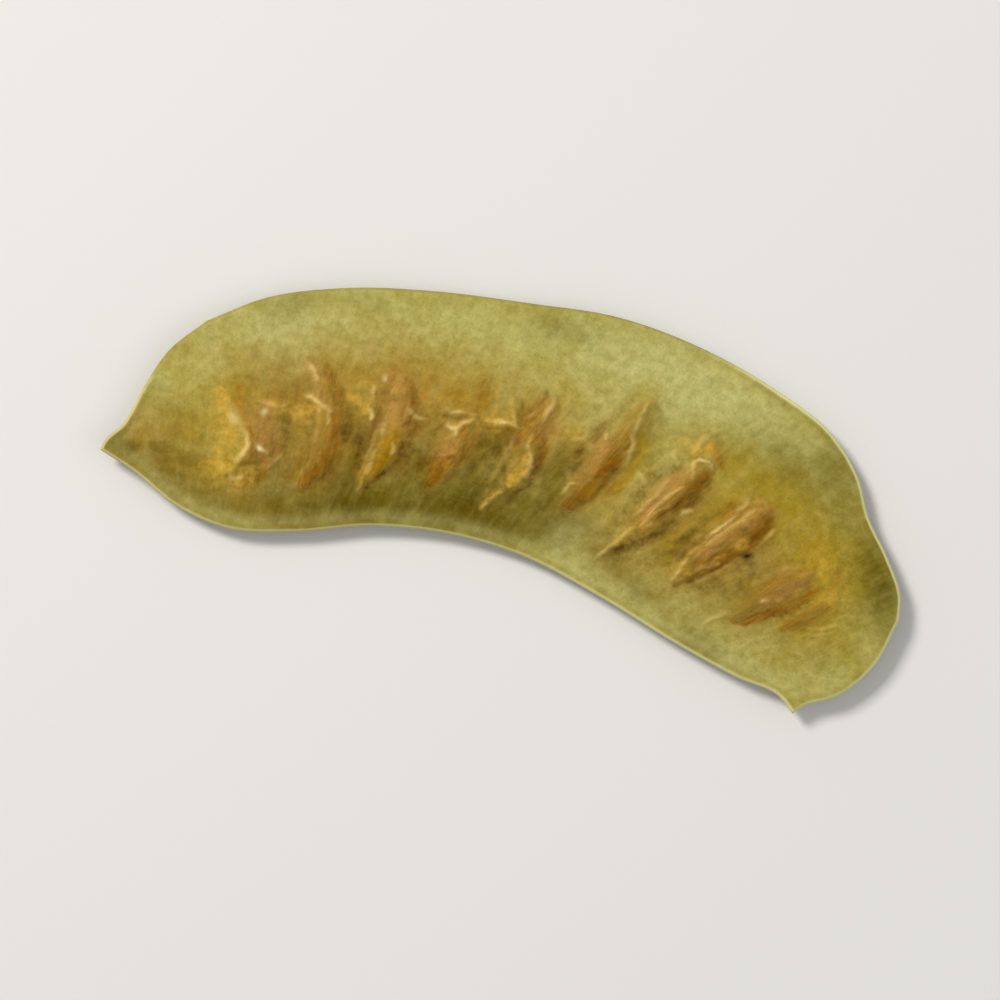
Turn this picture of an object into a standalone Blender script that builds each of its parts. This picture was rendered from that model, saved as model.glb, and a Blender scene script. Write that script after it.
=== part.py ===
"""A dried senna pod: one flat, kidney-shaped pod with its seeds showing as slanting ridges.

Sizes below are in millimetres. The pod lies flat: X runs along it from the stalk end to the blunt
end, Y runs across it towards the convex edge, and Z is up. The mesh is scaled to metres at the end.
"""

import bmesh
import bpy
import numpy as np

MM = 0.001

# Outline of the pod, as points that smooth curves run through.
CONVEX_EDGE = [
    (-22.6, 5.6), (-19.2, 8.2), (-14.3, 10.3), (-8.4, 11.8), (-1.4, 12.9), (4.5, 13.6), (10.3, 13.2),
    (16.2, 11.8), (20.8, 9.9), (23.3, 7.6), (24.8, 5.1), (26.8, 2.8), (28.4, 0.4), (28.7, -1.1),
]
CONCAVE_EDGE = [
    (-27.2, -4.9), (-24.6, -5.7), (-21.4, -7.1), (-17.4, -7.7), (-13.0, -6.7), (-7.8, -4.8),
    (-2.8, -3.9), (2.4, -3.9), (8.7, -5.2), (14.4, -6.8), (19.2, -7.9), (22.4, -8.4), (23.5, -9.2),
]
STALK_END = [(-27.2, -4.9), (-27.1, -4.3), (-26.2, -2.8), (-25.6, -0.3), (-24.5, 3.0), (-22.6, 5.6)]
BLUNT_END = [(23.5, -9.2), (24.0, -8.6), (26.0, -7.3), (27.9, -4.6), (28.7, -1.1)]

# Half thickness of the papery edge, then the rises on it: the two valves, the soft mounds round the
# seeds, and the cord of the suture, whose outer side is rounded down to the rim.
EDGE_HALF = 0.32
VALVE_RISE, VALVE_RISE_WIDTH = 0.32, 4.5
MOUND_RISE, MOUND_RADIUS = 0.42, 4.2
CORD_RISE, CORD_INSET, CORD_WIDTH = 0.10, 0.35, 0.35
RIM_HALF, RIM_ROUNDING = 0.15, 0.42
MOUND_STRENGTH = 0.8

# Each seed's ridge: where it starts by the convex side and ends by the concave side, how far it bows
# towards the blunt end, its half width and its height.
SEED_RIDGES = [
    {"top": (-20.2, 1.6), "low": (-19.3, -5.0), "bow": 2.7, "half_width": 0.9, "height": 0.50},
    {"top": (-14.8, 5.6), "low": (-13.4, -4.1), "bow": 1.9, "half_width": 1.1, "height": 0.55},
    {"top": (-8.5, 6.0), "low": (-9.2, -2.5), "bow": 0.9, "half_width": 1.1, "height": 0.62},
    {"top": (-2.8, 4.9), "low": (-5.2, -1.0), "bow": 0.4, "half_width": 1.3, "height": 0.50},
    {"top": (1.6, 7.4), "low": (-0.9, -1.2), "bow": 0.5, "half_width": 1.0, "height": 0.60},
    {"top": (8.5, 9.2), "low": (4.2, 0.1), "bow": 0.3, "half_width": 1.2, "height": 0.55},
    {"top": (13.4, 5.9), "low": (8.5, -1.8), "bow": 0.1, "half_width": 1.2, "height": 0.72},
    {"top": (18.2, 4.1), "low": (12.8, -2.8), "bow": -0.1, "half_width": 1.2, "height": 0.72},
    {"top": (22.4, 0.6), "low": (17.2, -4.3), "bow": -0.3, "half_width": 1.1, "height": 0.50},
    {"top": (24.4, -0.8), "low": (21.4, -3.6), "bow": 0.0, "half_width": 0.9, "height": 0.30},
]
RIDGE_TAPER = 0.7
RIDGE_END_WIDTH = 0.4
RELIEF_INSET = 2.0

# Folds that run along the pod over the tops of the first seeds.
FOLDS = [
    {"top": (-20.5, 2.6), "low": (-12.6, 3.1), "bow": 0.4, "half_width": 0.55, "height": 0.22},
    {"top": (-13.2, 3.3), "low": (-5.8, 4.2), "bow": 0.7, "half_width": 0.55, "height": 0.25},
    {"top": (-6.0, 4.6), "low": (1.4, 5.0), "bow": -0.5, "half_width": 0.60, "height": 0.28},
]

# The underside carries the same seeds a little lower, and rests on their flattened bellies.
BELLY_SHARE_OF_BOW = 0.6
BELLY_HEIGHT = 0.36
BELLY_FLAT_DEPTH = 0.20

# The dried pod isn't quite flat: its two ends lift and its convex edge ripples.
END_LIFT = 0.45
HALF_LENGTH = 28.0
RIPPLE_HEIGHT, RIPPLE_LENGTH, RIPPLE_REACH = 0.14, 15.0, 6.0
CONVEX_SIDE_WIDTH = 9.0

CELLS_ALONG, CELLS_ACROSS = 92, 28
RIM_CELL = 0.025
CURVE_SAMPLES = 240

POD_COLOUR = (0.36, 0.29, 0.085, 1.0)
POD_ROUGHNESS = 0.55


def clear_scene():
    for obj in list(bpy.data.objects):
        bpy.data.objects.remove(obj)


def smooth_curve(points):
    """Evenly spaced samples of the smooth curve through the points."""
    knots = np.array(points)
    reach = np.concatenate([[0], np.cumsum(np.linalg.norm(np.diff(knots, axis=0), axis=1))])
    slopes = np.gradient(knots, reach, axis=0)
    dense = np.linspace(0, reach[-1], 8 * CURVE_SAMPLES)
    span = np.clip(np.searchsorted(reach, dense, side="right") - 1, 0, len(knots) - 2)
    step = (reach[span + 1] - reach[span])[:, None]
    s = (dense - reach[span])[:, None] / step
    start = knots[span] * (1 + 2 * s) * (1 - s) ** 2 + slopes[span] * step * s * (1 - s) ** 2
    end = knots[span + 1] * s**2 * (3 - 2 * s) + slopes[span + 1] * step * s**2 * (s - 1)
    return evenly_spaced(start + end)


def evenly_spaced(line):
    run = np.concatenate([[0], np.cumsum(np.linalg.norm(np.diff(line, axis=0), axis=1))])
    even = np.linspace(0, run[-1], CURVE_SAMPLES + 1)
    return np.column_stack([np.interp(even, run, line[:, axis]) for axis in (0, 1)])


def on_curve(curve, share):
    """The points at these shares of a curve's length."""
    places = np.linspace(0, 1, len(curve))
    return np.column_stack([np.interp(share, places, curve[:, axis]) for axis in (0, 1)])


def spread_over_outline(along, across, sides):
    """Places shares along and across the pod on it, by blending its four sides."""
    concave, convex, stalk, blunt = sides
    u, v = along[:, None], across[:, None]
    lengthways = (1 - v) * on_curve(concave, along) + v * on_curve(convex, along)
    crossways = (1 - u) * on_curve(stalk, across) + u * on_curve(blunt, across)
    corners = (1 - v) * ((1 - u) * concave[0] + u * concave[-1]) + v * (
        (1 - u) * convex[0] + u * convex[-1]
    )
    return lengthways + crossways - corners


def distance_to_edge(places, sides):
    concave, convex, stalk, blunt = sides
    loop = np.vstack([concave[:-1], blunt[:-1], convex[:0:-1], stalk[:0:-1]])
    step = np.roll(loop, -1, axis=0) - loop
    offset = places[:, None, :] - loop
    share = np.clip((offset * step).sum(axis=2) / (step**2).sum(axis=1), 0, 1)
    return np.linalg.norm(offset - share[..., None] * step, axis=2).min(axis=1)


def ease(value):
    """Rises smoothly from 0 to 1."""
    value = np.clip(value, 0, 1)
    return value * value * (3 - 2 * value)


def ridge(places, shape, bow_share=1.0):
    """A long mound between two points, pointed at both ends, from 0 to 1."""
    top, low = np.array(shape["top"]), np.array(shape["low"])
    run = low - top
    length = np.hypot(*run)
    offset = places - top
    share = np.clip(offset @ run / length**2, 0, 1)
    bulge = 4 * share * (1 - share)
    aside = (offset[:, 1] * run[0] - offset[:, 0] * run[1]) / length
    aside = aside - bow_share * shape["bow"] * bulge
    width = shape["half_width"] * (RIDGE_END_WIDTH + (1 - RIDGE_END_WIDTH) * bulge)
    return bulge**RIDGE_TAPER * np.exp(-((aside / width) ** 2))


def mounds(places):
    """The low swelling round the seeds, from 0 to 1."""
    clear = np.ones(len(places))
    for shape in SEED_RIDGES:
        middle = (np.array(shape["top"]) + np.array(shape["low"])) / 2
        gap = ((places - middle) ** 2).sum(axis=1)
        clear *= 1 - MOUND_STRENGTH * np.exp(-gap / MOUND_RADIUS**2)
    return 1 - clear


def half_thickness(places, edge_gap):
    rise = (VALVE_RISE + MOUND_RISE * mounds(places)) * ease(edge_gap / VALVE_RISE_WIDTH)
    cord = CORD_RISE * np.exp(-(((edge_gap - CORD_INSET) / CORD_WIDTH) ** 2))
    rounding = np.sqrt(1 - (1 - np.clip(edge_gap / RIM_ROUNDING, 0, 1)) ** 2)
    return RIM_HALF + (EDGE_HALF - RIM_HALF + cord) * rounding + rise


def bend_of_pod(places, edge_gap):
    """How far the middle of the pod's thickness lifts."""
    along, across = places.T
    lift = END_LIFT * (along / HALF_LENGTH) ** 2
    near_convex = ease(across / CONVEX_SIDE_WIDTH) * (1 - ease(edge_gap / RIPPLE_REACH))
    return lift + RIPPLE_HEIGHT * near_convex * np.sin(2 * np.pi * along / RIPPLE_LENGTH)


def skins(places, sides):
    """Heights of the underside and of the top, with the underside's lowest places flattened at 0."""
    edge_gap = distance_to_edge(places, sides)
    inside = ease(edge_gap / RELIEF_INSET)
    thickness = half_thickness(places, edge_gap)
    middle = bend_of_pod(places, edge_gap)
    top_relief = np.zeros(len(places))
    low_relief = np.zeros(len(places))
    for shape in SEED_RIDGES:
        top_relief += shape["height"] * ridge(places, shape)
        low_relief += BELLY_HEIGHT * ridge(places, shape, BELLY_SHARE_OF_BOW)
    for shape in FOLDS:
        top_relief += shape["height"] * ridge(places, shape)
    top = middle + thickness + inside * top_relief
    underside = middle - thickness - inside * low_relief
    ground = underside.min() + BELLY_FLAT_DEPTH
    return np.maximum(underside - ground, 0), top - ground


def make_sheet():
    """A flat square sheet of cells whose X and Y are shares along and across the pod."""
    sheet = bmesh.new()
    bmesh.ops.create_grid(sheet, x_segments=CELLS_ALONG, y_segments=CELLS_ACROSS, size=0.5)
    last = CELLS_ACROSS
    for vert in sheet.verts:
        row = round((vert.co.y + 0.5) * last)
        vert.co.x += 0.5
        if row in (0, last):
            vert.co.y = row / last
        else:
            vert.co.y = RIM_CELL + (row - 1) / (last - 2) * (1 - 2 * RIM_CELL)
    return sheet


def make_pod():
    sides = [smooth_curve(points) for points in (CONCAVE_EDGE, CONVEX_EDGE, STALK_END, BLUNT_END)]
    body = make_sheet()
    shares = np.array([vert.co[:2] for vert in body.verts])
    places = spread_over_outline(shares[:, 0], shares[:, 1], sides)
    underside, top = skins(places, sides)
    centre = (places.min(axis=0) + places.max(axis=0)) / 2
    for vert, place, height in zip(body.verts, places - centre, underside):
        vert.co = (place[0] * MM, place[1] * MM, height * MM)
    bmesh.ops.triangulate(body, faces=body.faces, quad_method="SHORT_EDGE")
    lower = list(body.verts)
    raised = bmesh.ops.extrude_face_region(body, geom=body.faces[:], use_keep_orig=True)
    upper = [item for item in raised["geom"] if isinstance(item, bmesh.types.BMVert)]
    heights = {tuple(vert.co): height for vert, height in zip(lower, top)}
    for vert in upper:
        vert.co.z = heights[tuple(vert.co)] * MM
    bmesh.ops.recalc_face_normals(body, faces=body.faces)
    mesh = bpy.data.meshes.new("pod")
    body.to_mesh(mesh)
    body.free()
    mesh.shade_smooth()
    mesh.set_sharp_from_angle(angle=np.radians(50))
    mesh.materials.append(pod_material())
    pod = bpy.data.objects.new("pod", mesh)
    bpy.context.scene.collection.objects.link(pod)


def pod_material():
    material = bpy.data.materials.new("pod")
    material.use_nodes = True
    shader = material.node_tree.nodes["Principled BSDF"]
    shader.inputs["Base Color"].default_value = POD_COLOUR
    shader.inputs["Roughness"].default_value = POD_ROUGHNESS
    shader.inputs["Metallic"].default_value = 0.0
    return material


clear_scene()
make_pod()
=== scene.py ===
import bpy
import numpy as np
from mathutils import Matrix, Vector


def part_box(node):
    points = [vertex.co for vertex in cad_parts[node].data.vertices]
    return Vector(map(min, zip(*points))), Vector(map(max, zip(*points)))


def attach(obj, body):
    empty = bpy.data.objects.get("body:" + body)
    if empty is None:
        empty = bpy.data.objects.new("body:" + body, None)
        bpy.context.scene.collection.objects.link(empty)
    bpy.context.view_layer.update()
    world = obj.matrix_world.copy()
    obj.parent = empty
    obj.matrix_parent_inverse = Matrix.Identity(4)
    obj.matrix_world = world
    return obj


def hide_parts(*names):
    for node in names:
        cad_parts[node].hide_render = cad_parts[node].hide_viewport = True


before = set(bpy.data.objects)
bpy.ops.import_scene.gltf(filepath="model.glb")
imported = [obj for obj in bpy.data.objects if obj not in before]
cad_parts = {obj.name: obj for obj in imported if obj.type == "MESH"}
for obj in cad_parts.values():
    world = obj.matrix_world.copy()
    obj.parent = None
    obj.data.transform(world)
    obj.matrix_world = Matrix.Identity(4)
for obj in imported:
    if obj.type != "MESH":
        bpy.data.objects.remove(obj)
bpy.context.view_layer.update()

millimetre = 0.001
print("frame loaded")


# Outline and curves

outline = {
    "convexEdge": [
        (-22.6, 5.6), (-19.2, 8.2), (-14.3, 10.3), (-8.4, 11.8), (-1.4, 12.9), (4.5, 13.6),
        (10.3, 13.2), (16.2, 11.8), (20.8, 9.9), (23.3, 7.6), (24.8, 5.1), (26.8, 2.8),
        (28.4, 0.4), (28.7, -1.1),
    ],
    "concaveEdge": [
        (-27.2, -4.9), (-24.6, -5.7), (-21.4, -7.1), (-17.4, -7.7), (-13.0, -6.7), (-7.8, -4.8),
        (-2.8, -3.9), (2.4, -3.9), (8.7, -5.2), (14.4, -6.8), (19.2, -7.9), (22.4, -8.4),
        (23.5, -9.2),
    ],
    "stalkEnd": [
        (-27.2, -4.9), (-27.1, -4.3), (-26.2, -2.8), (-25.6, -0.3), (-24.5, 3.0), (-22.6, 5.6),
    ],
    "bluntEnd": [(23.5, -9.2), (24.0, -8.6), (26.0, -7.3), (27.9, -4.6), (28.7, -1.1)],
    "samples": 240,
}


def smoothCurve(points, samples):
    knots = np.array(points, float)
    reach = np.concatenate([[0], np.cumsum(np.linalg.norm(np.diff(knots, axis=0), axis=1))])
    slopes = np.gradient(knots, reach, axis=0)
    dense = np.linspace(0, reach[-1], 8 * samples)
    span = np.clip(np.searchsorted(reach, dense, side="right") - 1, 0, len(knots) - 2)
    step = (reach[span + 1] - reach[span])[:, None]
    s = (dense - reach[span])[:, None] / step
    start = knots[span] * (1 + 2 * s) * (1 - s) ** 2 + slopes[span] * step * s * (1 - s) ** 2
    end = knots[span + 1] * s**2 * (3 - 2 * s) + slopes[span + 1] * step * s**2 * (s - 1)
    line = start + end
    run = np.concatenate([[0], np.cumsum(np.linalg.norm(np.diff(line, axis=0), axis=1))])
    even = np.linspace(0, run[-1], samples + 1)
    return np.column_stack([np.interp(even, run, line[:, axis]) for axis in (0, 1)])


def onCurve(curve, share):
    places = np.linspace(0, 1, len(curve))
    return np.column_stack([np.interp(share, places, curve[:, axis]) for axis in (0, 1)])


sides = {
    name: smoothCurve(outline[name], outline["samples"])
    for name in ("convexEdge", "concaveEdge", "stalkEnd", "bluntEnd")
}


def spreadOverOutline(along, across):
    u, v = along[:, None], across[:, None]
    concave, convex = sides["concaveEdge"], sides["convexEdge"]
    lengthways = (1 - v) * onCurve(concave, along) + v * onCurve(convex, along)
    crossways = (1 - u) * onCurve(sides["stalkEnd"], across) + u * onCurve(sides["bluntEnd"], across)
    corners = (1 - v) * ((1 - u) * concave[0] + u * concave[-1])
    corners = corners + v * ((1 - u) * convex[0] + u * convex[-1])
    return lengthways + crossways - corners


def distanceToEdge(places):
    convex, stalk = sides["convexEdge"], sides["stalkEnd"]
    loop = [sides["concaveEdge"][:-1], sides["bluntEnd"][:-1], convex[:0:-1], stalk[:0:-1]]
    loop = np.vstack(loop)
    step = np.roll(loop, -1, axis=0) - loop
    gaps = []
    for chunk in np.array_split(places, 60):
        offset = chunk[:, None, :] - loop
        share = np.clip((offset * step).sum(axis=2) / (step**2).sum(axis=1), 0, 1)
        gaps.append(np.linalg.norm(offset - share[..., None] * step, axis=2).min(axis=1))
    return np.concatenate(gaps)


def ease(value):  # rises smoothly from 0 to 1
    value = np.clip(value, 0, 1)
    return value * value * (3 - 2 * value)


def bell(value):
    return np.exp(-(value**2))


def rising(value, start, end, low=0.0, high=1.0):
    return low + (high - low) * ease((value - start) / (end - start))


noiseTable = np.random.default_rng(11).uniform(-1, 1, (64, 64))
noiseShift = (37.2, 51.6)


def softNoise(places, size, layers=1):
    # smooth random field between -1 and 1, with features of this size
    x, y = (places / size + noiseShift).T
    total, weight = np.zeros(len(places)), 0.0
    for layer in range(layers):
        cellX, cellY = np.floor(x).astype(int), np.floor(y).astype(int)
        shareX, shareY = ease(x - cellX), ease(y - cellY)
        corner = [
            noiseTable[(cellX + i) % 64, (cellY + j) % 64] for j in (0, 1) for i in (0, 1)
        ]
        low = corner[0] * (1 - shareX) + corner[1] * shareX
        high = corner[2] * (1 - shareX) + corner[3] * shareX
        total += (low * (1 - shareY) + high * shareY) * 0.5**layer
        weight += 0.5**layer
        x, y = x * 2 + 17.3, y * 2 + 5.9
    return total / weight


# The wall's fibres lean over the pod and fan out: lean at the middle, and its change for each mm
fibres = {"lean": 0.38, "fan": 0.028}

# What makes drawn lines and outlines irregular: (shift, size of the bends)
crumple = [(0.20, 2.6), (0.16, 0.95), (0.10, 0.42)]


def alongFibres(places, stretch):
    x, y = places.T
    return np.column_stack([(x - fibres["lean"] * y) / (1 + fibres["fan"] * y), y / stretch])


def crumpled(places):
    shifts = [
        sum(shift * softNoise(places + start, size, layers=2) for shift, size in crumple)
        for start in (0.0, 23.7)
    ]
    return places + np.column_stack(shifts)


# Form of the pod

form = {
    "edgeHalf": 0.32, "valveRise": 0.32, "valveRiseWidth": 4.5,
    "moundRise": 0.42, "moundRadius": 4.2, "moundStrength": 0.8,
    "cordRise": 0.06, "cordInset": 0.22, "cordWidth": 0.20,
    "rimHalf": 0.15, "rimRounding": 0.30,
    "ridgeTaper": 0.7, "ridgeEndWidth": 0.4, "reliefInset": 2.0,
    # bellyBrown sets how brown the underside's seeds are and how strong their painted shade, bellyLip the
    # painted highlight along their lit side
    "bellyBow": 0.6, "bellyHeight": 0.36, "bellyBrown": 1.0, "bellyLip": 0.6, "bellyFlatDepth": 0.20,
    "endLift": 0.45, "halfLength": 28.0,
    "rippleHeight": 0.14, "rippleLength": 15.0, "rippleReach": 6.0, "convexSideWidth": 9.0,
    # the cord's strength along each edge: where along x it changes, and from what to what
    "convexCord": (9, 18, 0.05, 1.0), "concaveCord": (2, 10, 0.65, 0.80), "cordSides": (0.35, 0.65),
}

# One ridge for each seed. brown is how dark its body is, and how strong the painted shade beside it; lip
# how far the crinkle along its lit side rises, and how strong the painted highlight on it.
seedRidges = [
    {"top": (-20.2, 1.6), "low": (-19.3, -5.0), "bow": 2.7, "halfWidth": 0.9, "height": 0.50,
     "brown": 0.25, "lip": 0.0},
    {"top": (-14.8, 5.6), "low": (-13.4, -4.1), "bow": 1.9, "halfWidth": 1.1, "height": 0.42,
     "brown": 0.8, "lip": 0.25},
    {"top": (-8.5, 6.0), "low": (-9.2, -2.5), "bow": 0.9, "halfWidth": 1.1, "height": 0.50,
     "brown": 0.75, "lip": 0.2},
    {"top": (-2.8, 4.9), "low": (-5.2, -1.0), "bow": 0.4, "halfWidth": 1.3, "height": 0.50,
     "brown": 0.7, "lip": 0.0},
    {"top": (1.6, 7.4), "low": (-0.9, -1.2), "bow": 0.5, "halfWidth": 1.0, "height": 0.48,
     "brown": 0.75, "lip": 0.2},
    {"top": (8.5, 9.2), "low": (4.2, 0.1), "bow": 0.3, "halfWidth": 1.2, "height": 0.44,
     "brown": 0.8, "lip": 0.0},
    {"top": (13.4, 5.9), "low": (8.5, -1.8), "bow": 0.1, "halfWidth": 1.2, "height": 0.66,
     "brown": 1.0, "lip": 0.15},
    {"top": (18.2, 4.1), "low": (12.8, -2.8), "bow": -0.1, "halfWidth": 1.2, "height": 0.66,
     "brown": 1.0, "lip": 0.2},
    {"top": (22.4, 0.6), "low": (17.2, -4.3), "bow": -0.3, "halfWidth": 1.1, "height": 0.50,
     "brown": 0.8, "lip": 0.15},
    {"top": (24.4, -0.8), "low": (21.4, -3.6), "bow": 0.0, "halfWidth": 0.9, "height": 0.30,
     "brown": 0.3, "lip": 0.0},
]

# Folds that run along the pod over the tops of the first seeds.
folds = [
    {"top": (-20.5, 2.6), "low": (-12.6, 3.1), "bow": 0.4, "halfWidth": 0.55, "height": 0.22},
    {"top": (-13.2, 3.3), "low": (-5.8, 4.2), "bow": 0.7, "halfWidth": 0.55, "height": 0.25},
    {"top": (-6.0, 4.6), "low": (1.4, 5.0), "bow": -0.5, "halfWidth": 0.60, "height": 0.28},
]

# The underside isn't seen: there the seeds are guessed, lower, less bowed and all alike.
bellyRidges = [
    {**ridge, "bow": form["bellyBow"] * ridge["bow"], "height": form["bellyHeight"],
     "brown": form["bellyBrown"], "lip": form["bellyLip"]}
    for ridge in seedRidges
]


def placeOnRidge(places, ridge):
    # the ridge's taper, and how far aside of it in half widths, plus towards the blunt end
    top, low = np.array(ridge["top"]), np.array(ridge["low"])
    run = low - top
    length = np.hypot(*run)
    offset = places - top
    share = np.clip(offset @ run / length**2, 0, 1)
    bulge = 4 * share * (1 - share)
    aside = (offset[:, 1] * run[0] - offset[:, 0] * run[1]) / length - ridge["bow"] * bulge
    width = ridge["halfWidth"] * (form["ridgeEndWidth"] + (1 - form["ridgeEndWidth"]) * bulge)
    return bulge ** form["ridgeTaper"], aside / width


def mounds(places):
    clear = np.ones(len(places))
    for ridge in seedRidges:
        middle = (np.array(ridge["top"]) + np.array(ridge["low"])) / 2
        gap = ((places - middle) ** 2).sum(axis=1)
        clear *= 1 - form["moundStrength"] * np.exp(-gap / form["moundRadius"] ** 2)
    return 1 - clear


def cordStrength(places, across):
    # the seam shows as a pale cord, but hardly on the first half of the convex edge
    onConvexEdge = rising(places[:, 0], *form["convexCord"])
    onConcaveEdge = rising(places[:, 0], *form["concaveCord"])
    towardsConvex = rising(across, *form["cordSides"])
    return onConcaveEdge * (1 - towardsConvex) + onConvexEdge * towardsConvex


def halfThickness(places, edgeGap, cordShare):
    rise = form["valveRise"] + form["moundRise"] * mounds(places)
    cord = form["cordRise"] * cordShare * bell((edgeGap - form["cordInset"]) / form["cordWidth"])
    rounding = np.sqrt(1 - (1 - np.clip(edgeGap / form["rimRounding"], 0, 1)) ** 2)
    edge = form["rimHalf"] + (form["edgeHalf"] - form["rimHalf"] + cord) * rounding
    return edge + rise * ease(edgeGap / form["valveRiseWidth"])


def bendOfPod(places, edgeGap):
    along, across = places.T
    lift = form["endLift"] * (along / form["halfLength"]) ** 2
    nearConvex = ease(across / form["convexSideWidth"]) * (1 - ease(edgeGap / form["rippleReach"]))
    ripple = form["rippleHeight"] * np.sin(2 * np.pi * along / form["rippleLength"])
    return lift + nearConvex * ripple


# Creases in the papery wall by each seed: (half width, height, paleness, points). paleness sets the pale
# line along each crest, partly the creased paper's own and partly a painted highlight, and the painted
# shadow beside it.
creases = [
    # first seed
    (0.2, 0.12, 0.35, [(-20.1, 1.1), (-19.3, 0.2), (-18.5, -0.6), (-17.9, -1.1)]),
    (0.19, 0.14, 0.95, [(-18, -1), (-17.6, -1.7), (-17.7, -2.4), (-17.9, -3.1)]),
    (0.15, 0.12, 0.9, [(-17.1, -1.6), (-16.8, -1.6), (-16.1, -1.8)]),
    (0.2, 0.06, 0.7, [(-18.2, -4.2), (-17.6, -4.2), (-17.1, -4)]),
    (0.13, 0.08, 0.45, [(-17.8, 1.3), (-17, 1.3), (-15.8, 1.5)]),
    # second seed
    (0.14, 0.12, 1, [(-14.6, 2.5), (-13.7, 2.2), (-12.9, 2), (-12.4, 1.9)]),
    (0.14, 0.1, 0.9, [(-12.8, 2), (-12.8, 1.5), (-12.7, 1)]),
    (0.18, 0.1, 0.75, [(-15.4, 5.4), (-14.9, 4.6), (-14, 3.6)]),
    (0.2, 0.05, 0.45, [(-14.2, 0.9), (-13.7, 0.7)]),
    (0.15, 0.06, 0.4, [(-15.2, -1.4), (-15.5, -2.3), (-15.9, -3.1)]),
    # third seed
    (0.14, 0.12, 0.95, [(-10.1, 3), (-9.9, 2.7), (-9.8, 2.1)]),
    (0.13, 0.08, 0.6, [(-10.5, 4.5), (-10.2, 3.6)]), (0.16, 0.06, 0.7, [(-9.9, 5.5), (-9.6, 5)]),
    (0.14, 0.08, 0.55, [(-7.8, 3.6), (-7.2, 3.3), (-6.4, 3.2)]),
    (0.16, 0.1, 0.4, [(-8.9, 2.4), (-8.8, 1.8), (-8.7, 1.1)]),
    (0.11, 0.08, 0.55, [(-7.9, 1.2), (-7.8, 0.7), (-7.9, 0.2)]),
    (0.12, 0.12, 0.35, [(-8.9, 0.3), (-9, -0.6), (-9.2, -1.6), (-9.5, -2.8)]),
    # fourth seed
    (0.17, 0.14, 0.6, [(-5.4, 4.2), (-4.4, 4.2), (-3.5, 4.5), (-2.9, 4.6)]),
    (0.18, 0.16, 1, [(-4.9, 3.4), (-4.1, 3.2), (-3.7, 3.7), (-3, 4.3)]),
    (0.14, 0.08, 0.7, [(-4.1, 3.3), (-4, 2.7)]), (0.12, 0.06, 0.3, [(-4.8, 1.2), (-4.2, 1.4), (-3.6, 1.8)]),
    (0.18, 0.14, 0.45, [(-2.2, 4.2), (-1.3, 4.4), (-0.6, 4.6), (-0.1, 4.3)]),
    # fifth seed
    (0.15, 0.12, 0.6, [(-1, 6.3), (-0.6, 5.3), (-0.3, 4.7), (-0.1, 4.1)]),
    (0.18, 0.08, 0.6, [(1.6, 7.5), (1.7, 6.9), (1.5, 6), (1.5, 5.5)]),
    (0.18, 0.14, 0.8, [(0.9, 4.5), (1, 3.7), (1.1, 3)]),
    (0.15, 0.14, 0.9, [(1.2, 3), (1.3, 2.1), (1, 1.4), (0.7, 0.9)]),
    (0.16, 0.1, 0.5, [(-0.1, 0.2), (-0.6, -0.6), (-1.1, -1.5)]),
    # sixth seed
    (0.17, 0.08, 0.35, [(4.5, 6), (4.5, 5.4), (4.3, 4.9), (3.6, 4.7)]),
    (0.11, 0.04, 0.5, [(5.8, 5.9), (5.9, 5.3)]), (0.13, 0.08, 0.6, [(3.9, 0.8), (4.3, 1.5), (4.8, 1.9)]),
    (0.19, 0.14, 0.55, [(8, 8.6), (7.8, 6.8), (7.7, 5.6), (7.7, 4.8), (7.8, 3.8)]),
    (0.15, 0.06, 0.45, [(8.6, 3.6), (9, 3.3), (9.5, 3)]),
    # seventh seed
    (0.15, 0.1, 0.85, [(10.6, 5.8), (10.8, 5.3), (11.2, 4.8)]),
    (0.1, 0.14, 1, [(12.3, 4.9), (12.3, 5.5), (12.7, 5.7), (13.2, 5.7), (13.6, 5.1)]),
    (0.2, 0.06, 0.5, [(12.3, 5), (12.4, 4.3)]),
    (0.18, 0.12, 0.35, [(12, 5.9), (12.3, 6.8), (12.8, 7.5), (13.6, 8.2)]),
    (0.13, 0.08, 0.5, [(10.9, 3.9), (10.5, 3), (9.8, 1.9), (9.2, 0.8)]),
    (0.15, 0.06, 0.35, [(8.4, 2.2), (8.2, 1.2), (8.4, 0.1)]), (0.14, 0.08, 0.6, [(13, 2.4), (12.3, 1.9)]),
    (0.13, 0.06, 0.5, [(10.7, 0.7), (10.2, 0.3)]),
    (0.15, 0.08, 0.6, [(9.5, 0.1), (8.7, -1), (8.1, -1.9), (7.5, -2.9)]),
    # eighth seed
    (0.15, 0.1, 0.8, [(16.5, 4.1), (16.3, 3.5), (16, 2.9)]),
    (0.11, 0.1, 0.85, [(16.1, 2.9), (15.5, 2.2), (14.8, 1.3), (14.3, 0.4)]),
    (0.11, 0.1, 0.8, [(14.2, 0.3), (13.8, -0.5), (13.4, -1.6), (13, -2.8)]),
    (0.12, 0.08, 0.45, [(18.8, 2.6), (17.9, 1.3)]),
    (0.13, 0.08, 0.4, [(17, 0.1), (15.9, -1.2), (14.5, -2.4)]),
    # ninth seed
    (0.18, 0.06, 0.6, [(18.9, -2.8), (19.3, -2.4), (19.8, -2.2)]),
    # low right
    (0.14, 0.06, 0.45, [(15.4, -5.8), (15.9, -4.7), (17, -3.8)]),
    (0.14, 0.04, 0.25, [(18.5, -6.2), (19.4, -5.3), (20.7, -4.5)]),
    (0.13, 0.03, 0.45, [(22.6, -3.5), (23.6, -3.2), (24.8, -2.6)]),
    (0.12, 0.03, 0.3, [(22.8, -3.9), (23.7, -3.6), (24.8, -3.1)]),
    # right
    (0.26, 0.05, 0.3, [(21, 4.6), (21.9, 4.3), (22.4, 3.5), (22.4, 2.7)]),
]
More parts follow.
